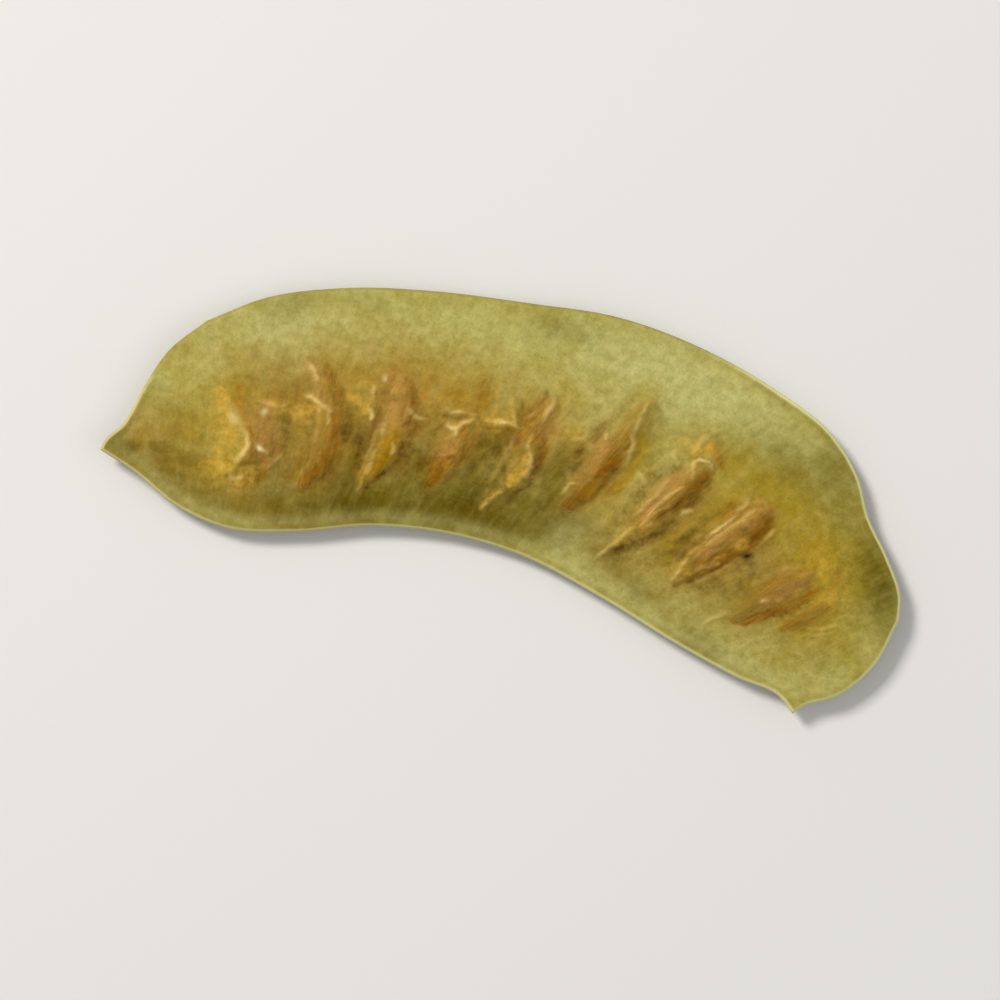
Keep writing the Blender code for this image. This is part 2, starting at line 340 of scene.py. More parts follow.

# Coloured bands of the crumpled wall over each seed: (tone, half width, strength, points)
# pink on the seeds' upper-left slopes is partly painted light; rust and deep on their far sides and in the
# hollows are partly painted shade, the rest their dark threads; cream is partly a painted highlight.
bands = {
    "first seed": [
        ("gold", 0.9, 0.4, [(-24, -0.9), (-22, -1.2), (-20, -0.9)]),
        ("tan", 0.5, 0.6, [(-23.6, -2.2), (-20.3, -2.5)]),
        ("olive", 0.6, 0.45, [(-24, -3.5), (-22, -3.9), (-19.9, -3.9)]),
        ("amber", 0.75, 0.8, [(-20.3, 1.2), (-19.6, 0.1), (-19.1, -0.8), (-18.7, -1.8)]),
        ("amber", 0.55, 0.7, [(-19.3, -1.2), (-19, -2.2), (-19.3, -3.2)]),
        ("brown", 0.32, 0.8, [(-19.4, 1.9), (-18.8, 0.7), (-17.8, -0.5), (-17.2, -1.2)]),
        ("brown", 0.28, 0.6, [(-18.9, -1.6), (-18.6, -2.3)]),
        ("brown", 0.25, 0.35, [(-18.8, 4.8), (-18.9, 4)]),
        ("pink", 0.95, 0.8, [(-17.1, 1.3), (-16.8, -0.2), (-16.1, -1.4), (-16.1, -2.5)]),
        ("brown", 0.4, 0.5, [(-16.6, -0.4), (-16.2, -1.6), (-16.4, -2.7)]),
        ("amber", 0.52, 0.85, [(-20.2, -4), (-18.4, -3.9), (-16.9, -3.4)]),
        ("amber", 0.38, 0.7, [(-18.8, -4.4), (-17.4, -4.4), (-16.6, -4)]),
        ("rust", 0.24, 0.9, [(-17.3, -4.7), (-16.2, -3.6), (-15.7, -2.9)]),
        ("brown", 0.5, 0.8, [(-17.5, -0.9), (-17.2, -2.1), (-17.4, -2.9)]),
        ("rust", 0.15, 0.6, [(-18.5, -3.2), (-17.4, -3.1), (-16.5, -2.8)]),
        ("brown", 0.3, 0.6, [(-17.1, 2), (-15.4, 1.9), (-13.9, 1.9)]),
        ("amber", 0.25, 0.6, [(-16.8, 1.5), (-15.2, 1.3), (-13.5, 1.7)]),
        ("deep", 0.35, 0.4, [(-15.6, 1), (-15.4, -0.3)]),
    ],
    "second seed": [
        ("pink", 0.38, 0.75, [(-15.1, 5), (-14.2, 3.8), (-13.4, 2.5)]),
        ("brown", 0.5, 0.75, [(-13.9, 5), (-12.9, 3.7), (-12.1, 2.5)]),
        ("deep", 0.16, 0.25, [(-12.8, 4.5), (-12.1, 3.3), (-11.7, 2.4)]),
        ("amber", 0.3, 0.65, [(-15.1, 1.5), (-13.3, 1.8)]),
        ("brown", 0.66, 0.9, [(-12.2, 2.1), (-11.9, 0.6), (-12, -0.9), (-12.6, -2.3), (-13.3, -3.6)]),
        ("rust", 0.42, 0.8, [(-11.8, 0.2), (-12, -1), (-12.6, -2.2), (-13.1, -3)]),
        ("tan", 0.36, 0.7, [(-13.4, -0.2), (-13.6, -1.9), (-14.3, -3.4)]),
        ("deep", 0.42, 0.95, [(-11.5, 2), (-11.2, 1.2), (-11, 0.4)]),
        ("deep", 0.65, 0.5, [(-10.7, 1.7), (-10.2, 0.4)]),
        ("deep", 0.26, 0.6, [(-10, 0.6), (-9.9, -0.4), (-9.7, -1.3)]),
        ("deep", 0.5, 0.35, [(-9.8, -1.2), (-10.4, -2.4)]),
        ("pale", 0.36, 0.4, [(-10.6, -0.3), (-10.8, -1.2)]),
        ("brown", 0.6, 0.2, [(-13.2, 0.8), (-13.3, -0.8), (-13.8, -2.6)]),
    ],
    "third seed": [
        ("amber", 0.38, 0.8, [(-11.8, 3.4), (-10.9, 3), (-10.1, 2.7)]),
        ("deep", 0.11, 0.6, [(-10.1, 4), (-9.7, 3), (-9.5, 2.1)]),
        ("pink", 1, 0.8, [(-9.1, 5.6), (-8.6, 4.2), (-8.2, 2.8), (-8.2, 1.9)]),
        ("brown", 0.42, 0.8, [(-8.3, 5.4), (-7.6, 4.6), (-7.3, 3.5)]),
        ("rust", 0.22, 0.5, [(-7.9, 5), (-7.4, 4.3), (-7.2, 3.5)]),
        ("brown", 0.42, 0.6, [(-8.1, 3.2), (-7.6, 2.1)]),
        ("brown", 0.4, 0.8, [(-9.5, 3.3), (-9.3, 1.8), (-9.1, 0.4)]),
        ("brown", 0.42, 0.7, [(-7.2, 3.4), (-6.9, 1.8)]),
        ("honey", 0.56, 1, [(-8, 1.8), (-8.1, 0.9), (-8.3, -0.1), (-8.8, -1.1), (-9.3, -2)]),
        ("amber", 0.16, 0.6, [(-8.9, -0.8), (-9.2, -1.5)]),
        ("deep", 0.19, 1, [(-7.4, 1.4), (-7.4, 0.4), (-7.8, -0.7), (-8.4, -1.7), (-9.1, -2.8)]),
        ("deep", 0.5, 0.55, [(-6.4, 1.2), (-6.1, 0.2)]), ("pale", 0.34, 0.55, [(-6.8, 1.7), (-5.5, 1.4)]),
        ("deep", 0.12, 0.6, [(-6.8, 1.2), (-5.1, 0.9)]),
    ],
    "fourth seed": [
        ("tan", 0.6, 0.7, [(-4.6, 5.2), (-2.3, 5.3)]), ("brown", 0.45, 0.55, [(-3.2, 6.8), (-3, 5.8)]),
        ("pink", 0.62, 0.75, [(-4.6, 3.2), (-4.3, 1.4)]),
        ("brown", 0.46, 0.95, [(-3.6, 3.5), (-3.2, 2.3), (-3.9, 1), (-4.5, 0.2), (-4.9, -1)]),
        ("rust", 0.55, 0.8, [(-3.9, 1.2), (-4.4, 0.4), (-4.8, -0.6)]),
        ("brown", 0.5, 0.85, [(-3.4, 1.4), (-4.3, 0.9), (-5.1, 0.6)]),
        ("amber", 0.18, 0.35, [(-3.9, 1), (-4.1, 0.4)]),
        ("amber", 0.32, 1, [(-2.4, 4.1), (-1.3, 4.4), (-0.4, 4.5)]),
        ("honey", 0.24, 0.7, [(-2.3, 3.9), (-1.2, 4.1), (-0.4, 4.2)]),
        ("deep", 0.12, 0.65, [(-5.3, 3.8), (-4.3, 3.8), (-3.3, 4.2)]),
        ("deep", 0.12, 0.65, [(-2, 3.8), (-1, 4), (-0.2, 4.05)]),
        ("deep", 0.75, 0.4, [(-1.6, 3.4), (-0.9, 2.5)]),
    ],
    "fifth seed": [
        ("gold", 0.42, 0.35, [(-1.3, 6.6), (-0.7, 5.3)]),
        ("deep", 0.11, 0.55, [(-0.5, 6.5), (-0.2, 5.2), (0.1, 4.2)]),
        ("brown", 0.58, 0.9, [(1.1, 6.8), (0.7, 5.8), (0.3, 4.9)]),
        ("pink", 0.52, 0.7, [(1.6, 6.7), (1.8, 5.4), (1.5, 4.5)]),
        ("tan", 0.3, 0.7, [(0.5, 4.8), (0.6, 4.1)]), ("brown", 0.42, 0.75, [(0.1, 4), (0.6, 2.9)]),
        ("brown", 0.5, 0.85, [(1.4, 4.5), (1.9, 3.5), (1.7, 2.3)]),
        ("amber", 0.38, 1, [(1.1, 3.1), (1, 2.1), (0.6, 1.3), (0.1, 0.5)]),
        ("amber", 0.22, 0.8, [(-0.2, -0.1), (-0.6, -0.7), (-1.1, -1.5)]),
        ("deep", 0.3, 0.8, [(1.9, 3), (1.7, 1.6), (1.1, 0.5)]),
        ("deep", 0.26, 0.6, [(0.9, 0.5), (0.3, -1)]),
        ("deep", 0.45, 0.6, [(0, 3.6), (-0.2, 2.4), (-0.5, 1.2)]),
        ("deep", 0.11, 0.6, [(-0.4, 1.7), (-0.1, 0.7)]), ("deep", 0.26, 0.5, [(1, 7.5), (1.2, 7)]),
        ("pink", 0.36, 0.6, [(1.9, 5.1), (2.9, 4.7)]), ("amber", 0.45, 0.45, [(3.1, 5.1), (4.5, 4.9)]),
    ],
    "sixth seed": [
        ("pink", 0.52, 0.6, [(6, 5.5), (5.6, 4.1), (5.3, 3), (4.9, 1.8)]),
        ("brown", 0.4, 0.6, [(5.4, 6.2), (5.1, 4.9)]),
        ("brown", 0.7, 0.35, [(7.5, 8), (7.1, 6.2), (6.9, 4.8), (6.6, 3.6)]),
        ("brown", 0.75, 0.9, [(7.2, 5.8), (6.9, 4.6), (6.3, 2.8), (5.6, 1.4), (4.7, 0.3)]),
        ("rust", 0.42, 0.9, [(6.9, 4.2), (6.4, 3.2), (5.9, 1.9), (5.1, 0.8)]),
        ("honey", 0.22, 0.7, [(5.6, 2.2), (5.6, 1.4)]), ("deep", 0.2, 0.6, [(7, 3.6), (6.6, 2.5), (6, 1)]),
        ("deep", 0.3, 0.6, [(5.7, 0.8), (4.8, 0.2)]),
        ("gold", 0.55, 0.9, [(8.4, 6.2), (8.2, 4), (7.8, 2.9), (7.1, 2)]),
        ("olive", 0.6, 0.25, [(8.9, 8.2), (8.9, 6.2), (9.3, 4.2)]),
        ("deep", 0.36, 0.5, [(4.4, 4.1), (4.3, 2.6)]),
    ],
    "seventh seed": [
        ("amber", 0.8, 0.35, [(10.4, 6.6), (12, 6.1)]),
        ("pink", 0.46, 0.85, [(11.3, 4.8), (10.6, 3.4), (10.1, 2.3), (9.6, 1)]),
        ("brown", 0.62, 0.9, [(12.7, 5), (11.8, 3.6), (11, 2.3), (10.3, 1.2), (9.8, 0.3)]),
        ("rust", 0.4, 1, [(13.3, 5.1), (12.7, 4), (12.2, 3.1), (11.6, 2.3)]),
        ("deep", 0.12, 0.7, [(13.2, 4.9), (12.6, 3.9), (12.1, 3), (11.3, 2.1), (10.6, 1.2)]),
        ("deep", 0.08, 0.45, [(12.1, 4.4), (11.5, 3.4), (10.9, 2.6)]),
        ("cream", 0.09, 0.5, [(11.7, 3.9), (11, 3.1), (10.4, 2.2), (9.8, 1.1)]),
        ("cream", 0.08, 0.4, [(11.1, 2.3), (10.4, 1.5), (9.6, 0.5)]),
        ("amber", 0.25, 0.75, [(10.5, 1.3), (9.7, 0.3), (9, -0.6), (8.3, -1.4)]),
        ("deep", 0.32, 1, [(11.7, 1.5), (11, 0.5), (10.2, -0.5), (9.1, -1.2), (8.2, -2.2)]),
        ("deep", 0.36, 0.5, [(13.4, 4.3), (12.9, 3.3), (12.4, 2.5)]),
        ("deep", 0.12, 0.5, [(10.5, 5.4), (10.8, 4.8)]),
        ("amber", 0.36, 0.65, [(11.9, 5.9), (12.3, 6.8), (13, 6.7)]),
        ("brown", 0.36, 0.7, [(12.8, 6.9), (13.5, 6.3), (14, 5.7)]),
        ("brown", 0.14, 0.6, [(10, 2.5), (9.3, 1.4)]),
    ],
    "eighth seed": [
        ("pink", 0.62, 0.95, [(17.6, 3.9), (16.2, 2.3), (15.4, 1.1), (14.3, -0.4)]),
        ("brown", 0.56, 0.85, [(18, 3.8), (17.2, 2.2), (16.4, 1)]),
        ("rust", 0.48, 1, [(18.2, 3.1), (17.8, 2.4), (17.2, 1.4)]),
        ("deep", 0.3, 0.4, [(18.2, 2.7), (17.6, 1.9), (17.2, 1.2)]),
        ("deep", 0.08, 0.5, [(16.9, 2.6), (16.1, 1.6), (15.2, 0.5)]),
        ("deep", 0.08, 0.5, [(16, 0.6), (14.9, -0.4), (13.9, -1.5)]),
        ("cream", 0.08, 0.45, [(16.8, 3.4), (16.2, 2.6), (15.3, 1.6), (14.5, 0.5)]),
        ("cream", 0.08, 0.4, [(15.6, -0.5), (14.7, -1.2), (13.9, -1.9)]),
        ("brown", 0.62, 1, [(17, 1), (15.8, -0.2), (14.8, -1.1), (13.6, -2.1)]),
        ("rust", 0.36, 0.8, [(16.6, 0.5), (15.5, -0.4), (14.3, -1.4)]),
        ("amber", 0.3, 0.75, [(16.8, 1.4), (16.4, 0.8)]), ("amber", 0.36, 0.65, [(13.9, -1.5), (13, -2.3)]),
        ("amber", 0.1, 0.6, [(15.9, 0.1), (15, -0.7), (14.2, -1.5)]),
        ("deep", 0.18, 0.85, [(16.7, 0.1), (15.1, -1.5), (14.2, -2.2), (13, -2.9)]),
        ("deep", 0.42, 0.6, [(13.9, 0.8), (13.2, -0.2), (12.8, -1.2)]),
        ("honey", 0.36, 0.5, [(15.4, 3), (15.1, 2.6)]), ("brown", 0.4, 0.5, [(15.2, 3.4), (15.5, 2.7)]),
    ],
    "ninth seed": [
        ("pink", 0.64, 0.9, [(21.6, 0.4), (20.7, -0.8), (20, -1.6), (19, -2.4)]),
        ("brown", 0.25, 0.6, [(20.4, -0.1), (19.3, -1), (18.7, -1.9)]),
        ("rust", 0.34, 1, [(22.4, -0.5), (21.5, -1.5), (20.6, -2.2), (19.3, -3.1)]),
        ("brown", 0.38, 0.9, [(19.9, -2.9), (18.5, -3.7), (17, -4.1)]),
        ("deep", 0.12, 0.6, [(22, -1.4), (20.7, -2.6), (19.4, -3.4)]),
    ],
    "tenth seed": [
        ("brown", 0.46, 0.45, [(23.7, 1.2), (23.7, -0.1)]),
        ("brown", 0.5, 0.7, [(23.8, -1.7), (22.8, -2.4), (21.2, -3.9)]),
    ],
}

# Where a whole seed's bands have to move from where they were drawn
nudges = {"seventh seed": (0.2, -0.1), "eighth seed": (0.15, -0.1), "ninth seed": (0.35, -0.2)}

# The cross-section of a stroke, in its half widths
strokeShape = {
    "samples": 14, "reach": 5, "endWidth": 0.5, "endStrength": 0.25, "falloff": 1.5,
    "bandEdge": (0.4, 1.5), "halo": 0.45, "haloWidth": 2.0,
}


def strokeOver(places, points, halfWidth):
    # places near a stroke through the points, their distance from it in half widths, and its taper
    line = smoothCurve(points, strokeShape["samples"])
    reach = strokeShape["reach"] * halfWidth
    near = np.flatnonzero(
        ((places > line.min(axis=0) - reach) & (places < line.max(axis=0) + reach)).all(axis=1)
    )
    step = np.diff(line, axis=0)
    offset = places[near][:, None, :] - line[:-1]
    share = np.clip((offset * step).sum(axis=2) / (step**2).sum(axis=1), 0, 1)
    gap = np.linalg.norm(offset - share[..., None] * step, axis=2)
    nearest = gap.argmin(axis=1)
    rows = np.arange(len(near))
    onLine = (nearest + share[rows, nearest]) / len(step)
    taper = (4 * onLine * (1 - onLine)) ** 0.5
    width = halfWidth * (strokeShape["endWidth"] + (1 - strokeShape["endWidth"]) * taper)
    return near, gap[rows, nearest] / width, taper


def alongLine(places, points, halfWidth, sharpness=0.0):
    # a tapering stroke, rounded, or like a fold if sharp
    strength = np.zeros(len(places))
    near, aside, taper = strokeOver(places, points, halfWidth)
    profile = (1 - sharpness) * bell(aside) + sharpness * np.exp(-strokeShape["falloff"] * aside)
    strength[near] = profile * (strokeShape["endStrength"] + (1 - strokeShape["endStrength"]) * taper)
    return strength


def alongBand(places, points, halfWidth):
    # a flat band with fairly crisp sides in a faint halo
    strength = np.zeros(len(places))
    near, aside = strokeOver(places, points, halfWidth)[:2]
    halo = strokeShape["halo"] * bell(aside / strokeShape["haloWidth"])
    strength[near] = np.maximum(1 - rising(aside, *strokeShape["bandEdge"]), halo)
    return strength


# Tints of the wall, with painted shade and painted highlights among them, as soft patches: (x, y, reach
# along, reach across, turn in degrees, strength)
tints = {
    "pale": [
        (-17.3, 6.3, 3.6, 1.9, 30, 0.75), (-10, 9.2, 5, 1.6, 8, 0.12), (-3.1, 10.2, 4, 1.8, 4, 0.3),
        (6.4, 10.8, 4, 2, -4, 0.5), (4.9, 6.3, 1.3, 1.3, 0, 0.65), (-1.3, 6.4, 1.1, 1.1, 0, 0.75),
        (23, -4.2, 2.6, 1, 20, 0.3), (-19, -6.2, 2.2, 0.8, -15, 0.35), (25.2, -1.8, 0.9, 1.4, 15, 0.25),
        (12, -2.6, 1.6, 0.7, -20, 0.4), (5, -2.4, 1.6, 0.8, -20, 0.3), (-15.5, 4.4, 1.4, 1.1, 0, 0.6),
        (5, -1.8, 1.4, 1, -20, 0.55), (-11, 7.2, 2.2, 1.2, 5, 0.25), (3.6, 11.8, 2, 1, 0, 0.3),
        (12.8, -2.2, 0.9, 0.5, -20, 0.3), (10.8, 10, 4.5, 2.8, -12, 0.7), (16.7, 8.8, 3.4, 2, -28, 0.5),
        (5.5, -1.6, 1, 1.6, -25, 0.8), (9, -3.6, 3, 1, -18, 0.45), (18.8, -6.6, 3, 0.9, -12, 0.4),
        (-21.3, 3.3, 0.5, 0.7, 0, 0.4), (-22.3, 3.7, 0.5, 0.5, 0, 0.3), (11.9, -4.9, 1.4, 0.6, -20, 0.5),
    ],
    "tan": [
        (-25.5, -3.4, 3, 2, -10, 0.8), (-17, 2.4, 4, 2.2, 0, 0.6), (-8.5, 5.2, 7, 2.9, 3, 0.75),
        (-0.5, 4.6, 5.5, 2.5, 0, 0.4), (6, 3.4, 3.2, 2.8, -20, 0.3), (-12.5, -0.5, 3.5, 4, 0, 0.5),
        (13, 0, 4.5, 3.5, -35, 0.7), (18.2, -1.2, 4.8, 3, -40, 0.6), (-4, 1.5, 4, 3, 0, 0.4),
        (8, -1.6, 4, 2, -20, 0.45), (-16, -5.8, 5, 1.2, 0, 0.5), (-21, -4.8, 3.5, 1.6, -15, 0.6),
        (-14.5, -5.6, 4, 1.2, 8, 0.4), (-13.5, 2.4, 6, 3, 0, 0.5), (-4, 3.8, 6, 2.6, 0, 0.5),
        (2.5, 4.2, 4, 3, -20, 0.4),
    ],
    "gold": [
        (18.5, 5, 4.8, 2.4, -20, 0.75), (19.4, 2.4, 2.4, 1.8, -20, 0.5), (23.4, 0.4, 3.2, 3.8, 20, 0.95),
        (23.2, -3.7, 2.8, 1.6, 15, 0.65), (-3.6, 6.8, 2.2, 1.4, 0, 0.25), (-18.5, -3.5, 2.6, 1.8, 0, 0.6),
        (15.2, 3.2, 1.8, 2.8, -38, 0.75), (14.6, 6.4, 2.4, 1.4, -20, 0.45), (-19.5, 0.5, 1.8, 2.4, 0, 0.5),
        (7.8, 8.4, 1.2, 2, -10, 0.5), (12.5, -0.6, 1.6, 1.6, 0, 0.35),
    ],
    "brown": [
        (-9.9, -0.2, 0.7, 1.3, 10, 0.4), (-6.9, 0.2, 0.6, 1.2, 10, 0.4), (-12.8, -0.8, 1.8, 2.6, 0, 0.25),
        (-16.6, -4, 0.9, 0.9, 0, 0.4), (19.3, 0.4, 1.4, 1, -40, 0.4), (13, 1.6, 0.7, 1.2, -40, 0.35),
        (-22.8, -1.2, 2.4, 1.6, 0, 0.22), (-16.5, -0.3, 1.2, 1.4, 0, 0.45), (-7.9, 4.3, 1.2, 1.1, 0, 0.4),
        (13.9, 3.4, 0.6, 1.2, -38, 0.4), (19.4, -1.2, 0.8, 0.8, 0, 0.3), (-14.8, -2.5, 0.9, 1.2, 0, 0.3),
        (-17, 0.2, 0.6, 0.8, 0, 0.1), (-11.2, 0.4, 0.9, 1.6, 0, 0.3), (15.2, 1.9, 0.8, 1.6, -40, 0.35),
        (20.8, 2.2, 1.6, 1.2, -30, 0.25), (11.2, 0.2, 1.2, 0.8, 30, 0.25),
    ],
    # mostly painted shade in the hollows beside and between the seeds
    "deep": [
        (-9.6, 1.5, 0.8, 1.4, 5, 0.65), (-8.9, -0.3, 0.5, 0.7, 0, 0.2), (5.2, 1.9, 0.8, 0.6, 42, 0.25),
        (-6.8, 2.3, 0.8, 1, 0, 0.5), (-5.5, 3.5, 0.9, 0.6, 0, 0.3), (-11, 2.3, 0.6, 0.8, 0, 0.3),
        (-9.2, -3.8, 1.2, 0.8, 0, 0.35), (9.1, 2.2, 0.6, 1.1, -35, 0.3), (11.5, 0.3, 1, 0.6, 42, 0.35),
        (-15.7, -0.5, 0.7, 1.6, 0, 0.35), (13.4, 0.7, 0.35, 1.1, -38, 0.35),
        (-20.3, -4.3, 0.7, 0.5, 0, 0.25), (-16, -3.5, 0.9, 0.8, 0, 0.35), (-11.7, -2.8, 0.8, 1, 0, 0.4),
        (10.3, 4.2, 0.4, 1, -35, 0.5), (18.4, 1.5, 0.5, 0.8, -42, 0.35), (-14.6, -2.8, 0.7, 1.2, -10, 0.25),
        (15.3, -2.3, 1.3, 0.45, 42, 0.65), (17.5, -0.1, 0.9, 0.6, 42, 0.6),
        (13.2, -0.3, 0.6, 1.2, -40, 0.45), (-9.8, -0.1, 0.6, 1.2, 10, 0.5), (-6.9, 0, 0.7, 1, 10, 0.55),
        (11.2, -1.4, 1, 0.6, 42, 0.45), (-9.7, 1.8, 0.4, 0.9, 0, 0.45), (-17, -3.9, 0.9, 0.7, 0, 0.35),
        (8.7, 0.5, 0.7, 0.9, -40, 0.4), (-1.2, -1.6, 1.2, 0.8, 0, 0.4), (9.2, -1.6, 0.9, 0.5, 42, 0.35),
        (4.6, -0.2, 1, 0.6, 30, 0.3), (-13, -2.6, 0.5, 1.2, -20, 0.2), (21.4, -2.6, 1, 0.5, 40, 0.3),
    ],
    "amber": [
        (22.7, 1.2, 1.1, 0.8, -40, 0.5), (23.6, -1, 1, 0.8, -40, 0.4), (12.6, 6.6, 1, 0.6, -10, 0.4),
    ],
    # the wall's olive between the seeds, with painted shade along the concave edge and at both ends
    "olive": [
        (-12.6, -4.9, 4.5, 1.4, 8, 0.75), (-6, -2.9, 5, 1.6, 5, 1), (-0.5, -2.2, 4, 1.5, 0, 0.85),
        (3, -0.6, 2, 1.8, -10, 0.7), (-15.2, -1.6, 0.9, 2.6, 8, 0.55), (-10.4, -1.6, 1.4, 2.6, 0, 0.8),
        (-6.2, -0.4, 1.4, 1.8, -10, 0.8), (-2, 0.6, 1.4, 2.4, -15, 0.8), (-1.3, 3, 0.9, 0.9, 0, 0.6),
        (3.2, 2.6, 1.1, 2.2, -20, 0.7), (-21.4, -5.6, 4, 1.2, -14, 0.5), (-22.6, -1.4, 2.6, 2, 0, 0.22),
        (18.5, 7.2, 3.8, 1.6, -25, 0.4), (25.7, 2, 1.3, 3.2, 22, 0.65), (21.6, 7.7, 1.8, 1.4, -40, 0.5),
        (0.4, 0.4, 2.2, 1.2, -12, 0.5), (-5.1, 0.3, 0.9, 1.3, 0, 0.35), (1, 11.8, 2.4, 1.1, 0, 0.35),
        (-9.3, -4.1, 1.6, 1.1, 0, 0.95), (11.2, 1.9, 0.8, 1, -40, 0.4), (2.4, 1.7, 0.8, 0.9, 0, 0.35),
        (-1, -0.1, 1.3, 0.9, 0, 0.5), (-5.4, -0.2, 0.9, 0.9, 0, 0.3), (-13, -0.2, 0.8, 1.2, 0, 0.3),
        (14.2, 1.9, 0.5, 0.9, -40, 0.35), (-12, 9.9, 1.4, 0.7, 8, 0.25), (11.2, -4.2, 1.6, 0.8, -20, 0.3),
        (16, -6.3, 2.4, 0.9, -20, 0.5), (-17.2, 8.2, 2.2, 1, 28, 0.35), (5, 1.2, 1.2, 1, -20, 0.3),
        (-17, 3.4, 3, 1.4, 0, 0.2), (3.4, 0, 1.4, 1, -20, 0.35), (8.6, 0.4, 0.7, 2.4, -35, 0.3),
        (12.4, -1.8, 0.5, 1, -25, 0.1), (-26.4, -4.2, 2, 1.2, 0, 0.7), (17.8, -1.9, 1, 1.6, -45, 0.4),
        (13.4, 0.2, 0.8, 1.8, -42, 0.4), (8.8, -2.6, 2.4, 1, -20, 0.4), (12.6, -3.8, 3, 1.2, -18, 0.1),
        (27.4, 0.4, 1.2, 2.6, 12, 0.85), (-1, -1.7, 5.5, 1.1, -3, 0.5), (17.6, -3, 3, 1.2, -15, 0.25),
        (-5.7, 2.2, 0.8, 1, 0, 0.4), (-14.8, -6.2, 5, 0.9, 5, 0.45), (13, 6.9, 3, 1.2, -15, 0.2),
        (5.4, -0.4, 1.6, 0.8, -20, 0.4), (22.9, 5.2, 1.2, 1.8, 30, 0.35),
    ],
    # painted highlights on crests
    "glint": [
        (-16.8, -1.6, 0.2, 0.17, -30, 1), (-9.7, 5.2, 0.16, 0.2, 20, 0.35),
        (-17.1, 0.7, 0.15, 0.3, 10, 0.35), (-1, 4.55, 0.3, 0.12, 0, 0.3), (-18.9, -0.4, 0.25, 0.4, 20, 0.2),
    ],
    "speck": [
        (17.4, 0.45, 0.46, 0.28, 35, 1), (1.1, 7.4, 0.2, 0.25, 0, 0.3),
    ],
}


def softPatch(places, x, y, reachAlong, reachAcross, turn, strength):
    turned = np.radians(turn)
    offset = places - np.array((x, y))
    along = offset[:, 0] * np.cos(turned) + offset[:, 1] * np.sin(turned)
    across = offset[:, 1] * np.cos(turned) - offset[:, 0] * np.sin(turned)
    return strength * np.exp(-((along / reachAlong) ** 2) - (across / reachAcross) ** 2)


toneNames = (
    "pale", "tan", "gold", "olive", "brown", "pink", "rust", "honey", "amber", "deep", "cream",
    "glint", "speck",
)


def lay(tones, name, over):  # a coverage, from 0 to 1, over what the tone has already
    tones[name] = 1 - (1 - tones[name]) * (1 - np.clip(over, 0, 1))


def layTints(tones, places, names):
    for name in names:
        for patch in tints[name]:
            lay(tones, name, softPatch(places, *patch))


crinkle = {
    "size": 1.4, "fineSize": 0.56, "fineStart": 9, "stretch": 1.4, "narrowness": 2.2,
    "height": 0.1, "fineShare": 0.35, "fineTone": 0.5, "sunk": 0.45, "flatTone": 0.1,
    "calmFrom": (13, 19), "calm": 0.8,  # the wall is smoother towards the blunt end
    "waveSize": 3.6, "waveHeight": 0.06,
}


def crinkles(places, size, start):
    # a net of sharp folds in the dry wall, from 0 between them to 1 along their crests
    field = softNoise(alongFibres(places, crinkle["stretch"]) + start, size, layers=3)
    return (1 - np.clip(np.abs(field) * crinkle["narrowness"], 0, 1)) ** 2


# How the seeds mark each skin. fold is how much of a ridge is a sharp fold, cover how far brown covers
# it. lip and hollow are relief, shade, line and glow are tones: (place, width, strength), with places
# and widths in half widths of the ridge, plus towards the blunt end.
# shade is painted shade, in the valley beside the lit side on top and on the far side below; line is a
# painted highlight along the lit side, glow an amber painted highlight beside the crest.
skins = {
    "top": {
        "fold": 0.3, "streakHeight": 0.05, "streakSize": 0.28, "streakStart": 0.0,
        "brokenBase": 0.62, "brokenSize": 0.6, "cover": 0.45, "streakShade": 0.35,
        "lip": (-1.05, 0.17, 0.06), "hollow": (1.3, 0.35, -0.08), "shade": (-1.5, 0.35, 0.5),
        "line": (-1.05, 0.15, 1.0), "glow": (-0.3, 0.3, 0.0),
    },
    "under": {
        "fold": 0.0, "streakHeight": 0.04, "streakSize": 0.3, "streakStart": 5.1,
        "brokenBase": 0.5, "brokenSize": 0.7, "cover": 0.85, "streakShade": 0.32,
        "lip": (-0.95, 0.16, 0.0), "hollow": (1.3, 0.35, 0.0), "shade": (0.8, 0.4, 0.4),
        "line": (-0.95, 0.16, 1.0), "glow": (-0.3, 0.3, 0.5),
        "crumpleStart": 11.3, "crinkleStart": 27, "crinkleHeight": 0.09, "sunk": 0.7,
        "flatTone": 0.15, "waveStart": 31.7, "waveSize": 3.2, "waveHeight": 0.05, "inset": 0.05,
    },
}

# The fibres' streaks over a ridge, and the sharp fold along its top, in half widths of the ridge
streaking = {
    "stretch": 4.0, "reliefEdge": (0.7, 1.3), "coverEdge": (0.45, 1.35), "fray": 0.5, "width": 0.9,
    "breaks": 0.9, "foldAt": -0.1, "foldSharpness": 2.2,
}

# pale is the strength of each crease's pale line, partly a painted highlight; shade, shadeWidth and
# shadeShift make the painted shadow beside it, shifted away from the light
creaseLook = {  # widths as shares of each crease's own
    "height": 0.75, "reliefWidth": 1.4, "sharpness": 0.6, "pale": 1.2, "unbroken": 0.15,
    "shade": 0.45, "shadeWidth": 1.1, "shadeShift": (0.24, -0.13),
}


def mark(aside, place, width, strength):
    return strength * bell((aside - place) / width)


def brokenUp(places, skin):  # 1 where a pale line is whole, 0 where it breaks off
    patchy = softNoise(places, skin["brokenSize"], layers=2)
    return np.clip(skin["brokenBase"] + streaking["breaks"] * patchy, 0, 1)


